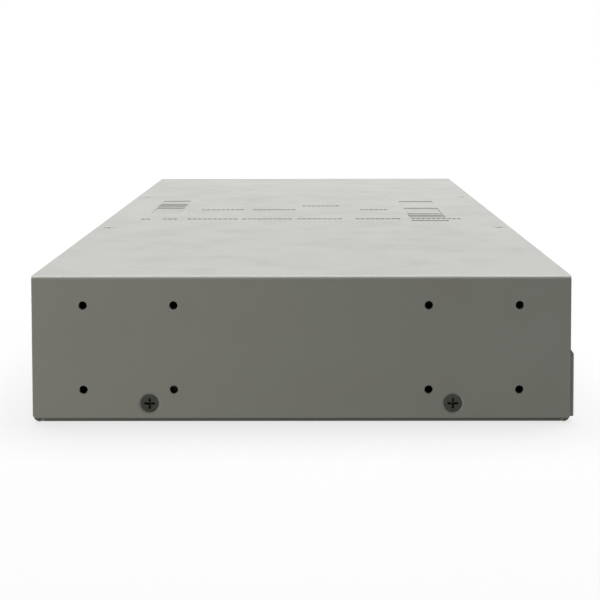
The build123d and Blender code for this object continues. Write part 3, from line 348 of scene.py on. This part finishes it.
def printing(name, colour):
    """Pad-printed ink, slightly uneven in cover."""
    finish = Finish(name, colour, 0.5)
    cover = finish.noise(1500.0, 3.0, 0.6)
    finish.paint(finish.shade(finish.remap(cover, 0.3, 0.7, 0.0, 1.0), colour, 0.18))
    finish.gloss(finish.remap(cover, 0.3, 0.7, 0.42, 0.6))
    finish.relief(cover, 0.004 * MM)
    return finish.material


DARK_INK = printing("dark_ink", (0.035, 0.036, 0.036))
PALE_INK = printing("pale_ink", (0.72, 0.72, 0.69))
INK_THICK = 0.03 * MM

# The power switch's rocker: its pivot (Y, Z), its tilt at rest in degrees, and its face
ROCKER_PIVOT, ROCKER_TILT = (77.5 * MM, 22.0 * MM), 8.0
ROCKER_MIDDLE, ROCKER_EDGE, ROCKER_HALF = 4.2 * MM, 5.4 * MM, 7.8 * MM

# A fan blade, in millimetres and degrees. `Gain` is what is added from the root to the tip.
BLADE_ROOT, BLADE_LENGTH = 10.9, 7.2
BLADE_PITCH, PITCH_GAIN = 38, 12
HALF_CHORD, CHORD_GAIN = 6.2, 0.5
HALF_THICK, EDGE_THICK = 0.6, 0.1
CAMBER, SWEEP = 1.1, 1.6
BLADE_MIDDLE = 7.9  # distance of its middle behind the hub's face


def piece(name, mesh, body, material):
    """Links a mesh as a piece that rides on a body."""
    mesh.name = name
    mesh.materials.append(material)
    obj = bpy.data.objects.new(name, mesh)
    bpy.context.scene.collection.objects.link(obj)
    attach(obj, body)
    return obj


def meshed(builder):
    """The mesh of a bmesh, with its faces turned outwards."""
    bmesh.ops.recalc_face_normals(builder, faces=builder.faces)
    mesh = bpy.data.meshes.new("piece")
    builder.to_mesh(mesh)
    builder.free()
    return mesh


class Surface:
    """A flat place to print on: its centre, and the directions across it and up it."""

    def __init__(self, centre, across, up):
        self.centre, self.across, self.up = Vector(centre), Vector(across), Vector(up)
        self.out = self.across.cross(self.up).normalized()

    def at(self, x, y, lift):
        return self.centre + x * self.across + y * self.up + lift * self.out


def stamp(builder, surface, outlines):
    """A thin closed print: inside one outline, or between a ring's outer and inner ones."""
    loops = [[[builder.verts.new(surface.at(x, y, lift)) for x, y in outline]
              for lift in (0.0, INK_THICK)] for outline in outlines]
    for low, high in loops:
        for index in range(len(low)):
            after = (index + 1) % len(low)
            builder.faces.new((low[index], low[after], high[after], high[index]))
    for level in range(2):
        if len(loops) == 1:
            builder.faces.new(loops[0][level])
            continue
        outer, inner = loops[0][level], loops[1][level]
        for index in range(len(outer)):
            after = (index + 1) % len(outer)
            builder.faces.new((outer[index], outer[after], inner[after], inner[index]))


def stroke(width, height, x=0.0, y=0.0):
    """A rectangle's outline about a middle."""
    corners = (-1, -1), (1, -1), (1, 1), (-1, 1)
    return [(x + sx * width / 2, y + sy * height / 2) for sx, sy in corners]


def circle(radius, segments=40):
    turns = [2 * math.pi * index / segments for index in range(segments)]
    return [(radius * math.cos(turn), radius * math.sin(turn)) for turn in turns]


def port_numbers():
    """Numerals printed under the network sockets, counted from the left."""
    pitch, wall, size, gap = 13.97 * MM, 1.0 * MM, 2.6 * MM, 1.5 * MM
    centres = []
    for block in ("console_jack", "wan_jack_block", "dmz_jack", "lan_jack_block"):
        low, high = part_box(block)
        count = round((high.x - low.x - wall) / pitch)
        centres += [low.x + wall / 2 + pitch * (index + 0.5) for index in range(count)]
    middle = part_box("lan_jack_block")[0].z - gap - size / 2
    builder = bmesh.new()
    for number, x in enumerate(centres):
        text = bpy.data.curves.new("numeral", "FONT")
        text.body, text.size, text.extrude = str(number), size, INK_THICK / 2
        text.align_x, text.align_y = "CENTER", "CENTER"
        numeral = bpy.data.objects.new("numeral", text)
        mesh = bpy.data.meshes.new_from_object(numeral)
        surface = Surface((x, FASCIA_FACE, middle), (1, 0, 0), (0, 0, 1))
        for vertex in mesh.vertices:
            vertex.co = surface.at(vertex.co.x, vertex.co.y, vertex.co.z + INK_THICK / 2)
        builder.from_mesh(mesh)
        bpy.data.objects.remove(numeral)
    bmesh.ops.remove_doubles(builder, verts=builder.verts, dist=0.0001 * MM)
    piece("port_numbers", meshed(builder), "chassis", DARK_INK)


def earth_mark():
    """The usual earth symbol, printed on the rear wall above the stud."""
    low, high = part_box("earth_terminal")
    bar = 0.45 * MM
    centre = ((low.x + high.x) / 2, TRAY_HIGH.y, high.z + 4.2 * MM)
    surface = Surface(centre, (-1, 0, 0), (0, 0, 1))
    builder = bmesh.new()
    stamp(builder, surface, [stroke(bar, 2.2 * MM, 0.0, 1.6 * MM)])
    for width, y in ((4.0, 0.3), (2.6, -0.6), (1.2, -1.5)):
        stamp(builder, surface, [stroke(width * MM, bar, 0.0, y * MM)])
    piece("earth_mark", meshed(builder), "chassis", DARK_INK)


def rocker_marks():
    """The on and off marks on the rocker's two faces."""
    low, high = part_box("switch_rocker")
    pivot = Vector(((low.x + high.x) / 2, *ROCKER_PIVOT))
    tilt = math.radians(ROCKER_TILT)
    out = Vector((0, math.cos(tilt), -math.sin(tilt)))
    up = Vector((0, math.sin(tilt), math.cos(tilt)))
    builder = bmesh.new()
    on_mark = [stroke(0.55 * MM, 2.8 * MM)]
    off_mark = [circle(1.45 * MM), circle(0.95 * MM)]
    for end, outlines in ((1, on_mark), (-1, off_mark)):
        middle = pivot + ROCKER_MIDDLE * out
        edge = pivot + ROCKER_EDGE * out + end * ROCKER_HALF * up
        along = (edge - middle).normalized() * end
        surface = Surface(middle.lerp(edge, 0.55), (-1, 0, 0), along)
        stamp(builder, surface, outlines)
    piece("rocker_marks", meshed(builder), "rocker", PALE_INK)


def turned(builder, outline, place, segments=72):
    """A closed solid of revolution about the fan's axis, from (radius, distance forward) points."""
    rings = []
    for radius, forward in outline:
        if radius == 0:
            rings.append([builder.verts.new(place(0, 0, forward))])
        else:
            rings.append([builder.verts.new(place(radius, 2 * math.pi * index / segments, forward))
                          for index in range(segments)])
    for ring, following in zip(rings, rings[1:]):
        for index in range(segments):
            after = (index + 1) % segments
            corners = [ring[index % len(ring)], ring[after % len(ring)],
                       following[after % len(following)], following[index % len(following)]]
            builder.faces.new(list(dict.fromkeys(corners)))


def blade(builder, place, start):
    """One swept, cambered and twisted blade, as a closed skin."""
    spans, chords = 8, 12
    sides = []
    for side in (-1, 1):
        rows = []
        for span in range(spans + 1):
            out = span / spans
            radius = (BLADE_ROOT + BLADE_LENGTH * out) * MM
            pitch = math.radians(BLADE_PITCH + PITCH_GAIN * out)
            row = []
            for step in range(chords + 1):
                chord = 2 * step / chords - 1
                half = EDGE_THICK if abs(chord) == 1 else HALF_THICK * (1 - 0.7 * chord**2)
                reach = chord * (HALF_CHORD + CHORD_GAIN * out)
                axial = reach * math.cos(pitch) - side * half * math.sin(pitch)
                aside = reach * math.sin(pitch) + side * half * math.cos(pitch)
                aside += CAMBER * (1 - chord**2) + SWEEP * out**2
                turn, forward = start + aside * MM / radius, (BLADE_MIDDLE - axial) * MM
                row.append(builder.verts.new(place(radius, turn, forward)))
            rows.append(row)
        sides.append(rows)
    lower, upper = sides
    for span in range(spans):
        for step in range(chords):
            for rows in sides:
                builder.faces.new((rows[span][step], rows[span][step + 1],
                                   rows[span + 1][step + 1], rows[span + 1][step]))
        for step in (0, chords):
            builder.faces.new((lower[span][step], upper[span][step],
                               upper[span + 1][step], lower[span + 1][step]))
    for step in range(chords):
        for span in (0, spans):
            builder.faces.new((lower[span][step], lower[span][step + 1],
                               upper[span][step + 1], upper[span][step]))


def fan_rotor(side):
    """Hub, shaft and seven moulded blades."""
    low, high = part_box(f"fan_rotor_{side}")
    centre = (low + high) / 2

    def place(radius, turn, forward):
        return Vector((centre.x + radius * math.sin(turn), high.y - forward,
                       centre.z + radius * math.cos(turn)))

    hub, rounding, skirt = 11.5 * MM, 1.2 * MM, 15.8 * MM
    cup, cup_floor, shaft = 8.6 * MM, 2.0 * MM, 1.0 * MM
    dish, dish_rim, dish_deep = 7.8 * MM, 8.2 * MM, 0.35 * MM
    length = high.y - low.y
    outline = [(0, dish_deep), (dish, dish_deep), (dish_rim, 0.0)]
    for angle in range(0, 91, 15):
        turn = math.radians(angle)
        outline.append((hub - rounding + rounding * math.sin(turn),
                        rounding - rounding * math.cos(turn)))
    outline += [(hub, skirt), (cup, skirt), (cup, cup_floor), (shaft, cup_floor),
                (shaft, length), (0, length)]
    builder = bmesh.new()
    turned(builder, outline, place)
    blades = 7
    for index in range(blades):
        blade(builder, place, 2 * math.pi * index / blades)
    rotor = piece(f"moulded_rotor_{side}", meshed(builder), f"fan_{side}",
                  MATERIALS["fan_plastic"])
    for polygon in rotor.data.polygons:
        polygon.use_smooth = True
    rotor.data.set_sharp_from_angle(angle=math.radians(35))
    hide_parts(f"fan_rotor_{side}")


port_numbers()
earth_mark()
rocker_marks()
fan_rotor("left")
fan_rotor("right")

# ---- Stage, lights and camera ---------------------------------------------------------

FLOOR_GREY = (0.155, 0.155, 0.155)


def floor():
    """A pale floor that fades to white far from the object."""
    radius, segments = 6.0, 96
    mesh = bpy.data.meshes.new("floor")
    plane = bmesh.new()
    bmesh.ops.create_circle(plane, cap_ends=True, segments=segments, radius=radius)
    plane.to_mesh(mesh)
    plane.free()
    obj = bpy.data.objects.new("floor", mesh)
    obj.location.z = -0.05 * MM
    bpy.context.scene.collection.objects.link(obj)
    finish = Finish("floor", FLOOR_GREY, 0.9)
    distance = finish.add("ShaderNodeVectorMath", operation="LENGTH")
    finish.join(finish.place, distance.inputs[0])
    far = finish.remap(distance.outputs["Value"], 0.5, 3.0, 0.75, 1.0)
    finish.paint(finish.shade(finish.noise(40.0), FLOOR_GREY, 0.01))
    finish.join(far, finish.shader.inputs["Emission Strength"])
    finish.set("Emission Color", (1.0, 1.0, 1.0, 1.0))
    mesh.materials.append(finish.material)
    obj.visible_diffuse = False


def soft_box(name, place, target, size, watts, colour=(1.0, 1.0, 1.0)):
    """A rectangular studio light aimed at a point."""
    light = bpy.data.lights.new(name, "AREA")
    light.shape = "RECTANGLE"
    light.size, light.size_y = size
    light.energy = watts
    light.color = colour
    obj = bpy.data.objects.new(name, light)
    obj.location = place
    obj.rotation_euler = (Vector(target) - Vector(place)).to_track_quat("-Z", "Y").to_euler()
    obj.visible_camera = False
    bpy.context.scene.collection.objects.link(obj)


def surroundings(ambient):
    """White to the eye, with a soft even light of the given colour on the object."""
    world = bpy.data.worlds.new("studio")
    world.use_nodes = True
    nodes, links = world.node_tree.nodes, world.node_tree.links
    path = nodes.new("ShaderNodeLightPath")
    level = nodes.new("ShaderNodeMix")
    level.data_type = "RGBA"
    level.inputs[6].default_value = (*ambient, 1.0)
    level.inputs[7].default_value = (1.0, 1.0, 1.0, 1.0)
    links.new(path.outputs["Is Camera Ray"], level.inputs["Factor"])
    links.new(level.outputs[2], nodes["Background"].inputs["Color"])
    bpy.context.scene.world = world


# The camera fitted to the photograph: lens in mm, turns in degrees
CAMERA_LENS, CAMERA_SHIFT, CAMERA_AWAY = 99.38, -0.202, 0.4903
CAMERA_DOWN, CAMERA_ROLL, CAMERA_YAW = 3.79, 0.11, 0.35


def camera():
    """At the photograph's angle: level with the middle of the end, looking down a little."""
    lens_data = bpy.data.cameras.new("camera")
    lens_data.lens, lens_data.sensor_width = CAMERA_LENS, 36.0
    lens_data.shift_y = CAMERA_SHIFT
    obj = bpy.data.objects.new("camera", lens_data)
    obj.location = (COVER_LOW.x - CAMERA_AWAY, -2.8 * MM, 105.5 * MM)
    turns = 90 - CAMERA_DOWN, CAMERA_ROLL, -90.0 + CAMERA_YAW
    obj.rotation_euler = [math.radians(turn) for turn in turns]
    bpy.context.scene.collection.objects.link(obj)
    bpy.context.scene.camera = obj


floor()
surroundings((0.125, 0.124, 0.116))
soft_box("key", (0.85, -0.1, 2.0), (0.1, 0, 0), (2.4, 2.0), 78.0)
soft_box("fill", (-0.7, 0.5, 0.07), (-0.22, 0, 0.02), (0.4, 0.4), 1.55, (1.0, 0.985, 0.86))
soft_box("front", (-0.15, -1.5, 0.45), (0, 0, 0.02), (1.0, 0.6), 4.5)
camera()
bpy.context.scene.view_settings.view_transform = "Standard"
